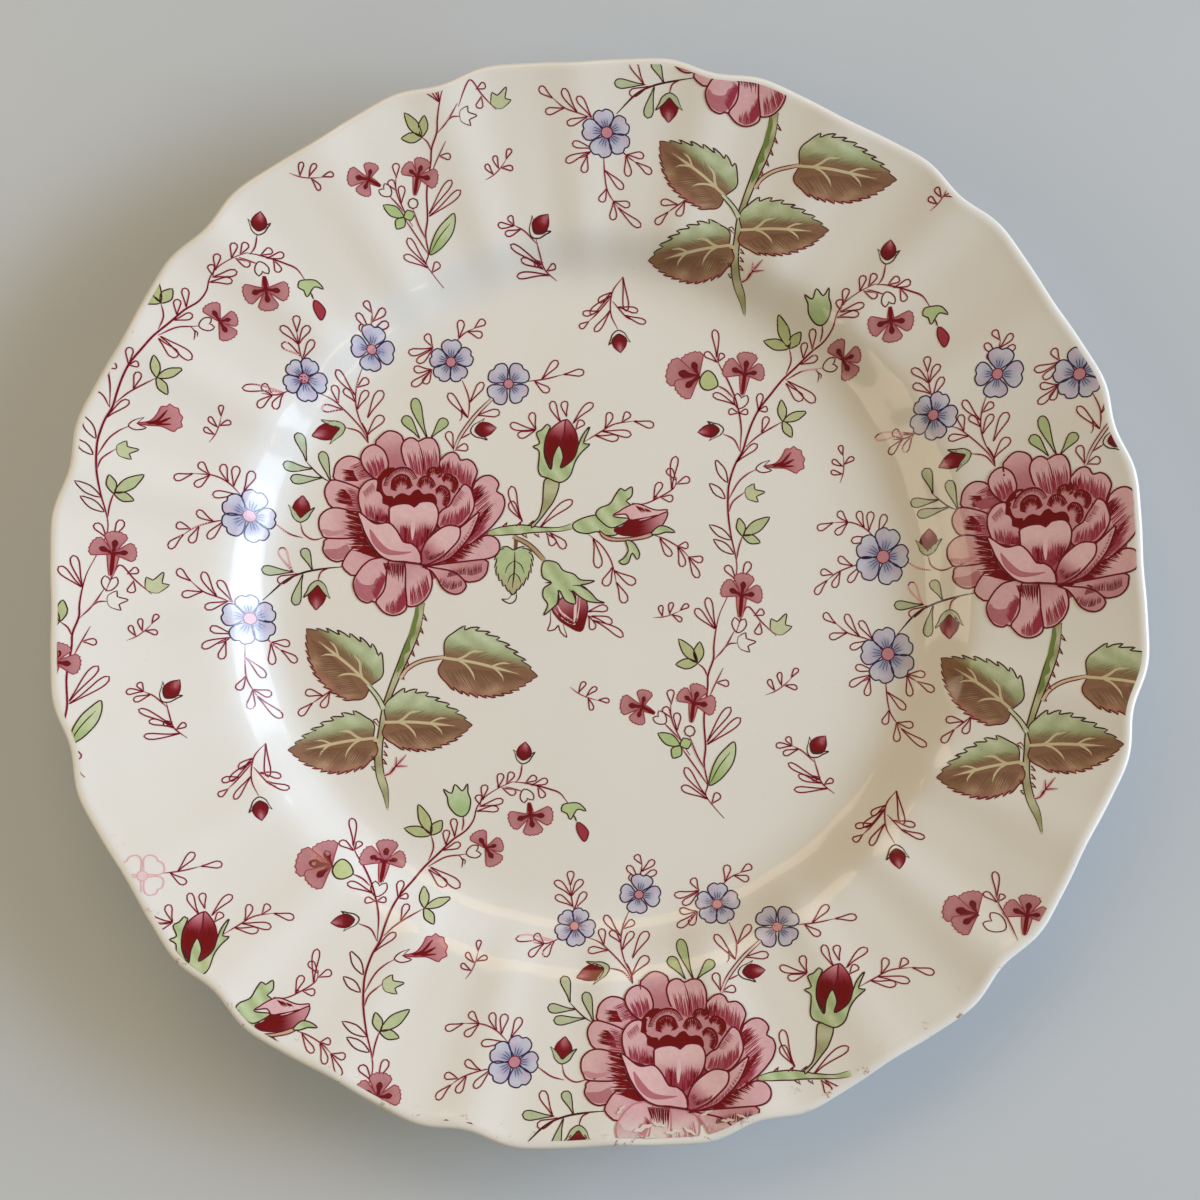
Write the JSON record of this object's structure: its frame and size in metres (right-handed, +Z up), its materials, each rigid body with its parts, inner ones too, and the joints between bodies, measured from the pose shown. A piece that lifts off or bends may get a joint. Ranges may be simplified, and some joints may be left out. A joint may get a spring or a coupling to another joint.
{
  "type": "dinner plate",
  "caption": "Round scalloped dinner plate with a fluted rim, a dished well, a foot ring and an all-over rose and vine print under a clear gloss glaze.",
  "frame": {"origin": "middle of the foot ring's resting face, on the surface the plate stands on", "axes": "+Z up out of the well; +X and +Y to the right and to the back of the pattern as the plate is seen from above with the main rose left of the middle"},
  "size_m": [0.2542, 0.2542, 0.0239],
  "materials": {
    "fired_clay": "unglazed fired earthenware",
    "clear_glaze": "glossy glaze over cream earthenware",
    "rose_pink": "printed pink and crimson colour, glossy",
    "leaf_green": "printed green and brown colour, glossy",
    "bud_crimson": "printed crimson colour, glossy",
    "flower_blue": "printed blue and lavender colour, glossy",
    "vine_crimson": "printed crimson and pink colour, glossy"
  },
  "bodies": {
    "root": {"earthenware_body": "fired_clay", "glaze_coat": "clear_glaze", "underside_glaze": "clear_glaze", "main_rose_print": "rose_pink", "right_rose_print": "rose_pink", "bottom_rose_print": "rose_pink", "top_rose_print": "rose_pink", "main_leaves_print": "leaf_green", "right_leaves_print": "leaf_green", "top_leaves_print": "leaf_green", "main_buds_print": "bud_crimson", "bottom_bud_print": "bud_crimson", "lower_left_buds_print": "bud_crimson", "main_blue_flowers_print": "flower_blue", "right_blue_flowers_print": "flower_blue", "bottom_blue_flowers_print": "flower_blue", "top_blue_flower_print": "flower_blue", "centre_vine_print": "vine_crimson", "left_vine_print": "vine_crimson", "lower_vine_print": "vine_crimson", "top_vine_print": "vine_crimson", "corner_vine_print": "vine_crimson", "loose_sprigs_print": "vine_crimson"}
  },
  "joints": []
}
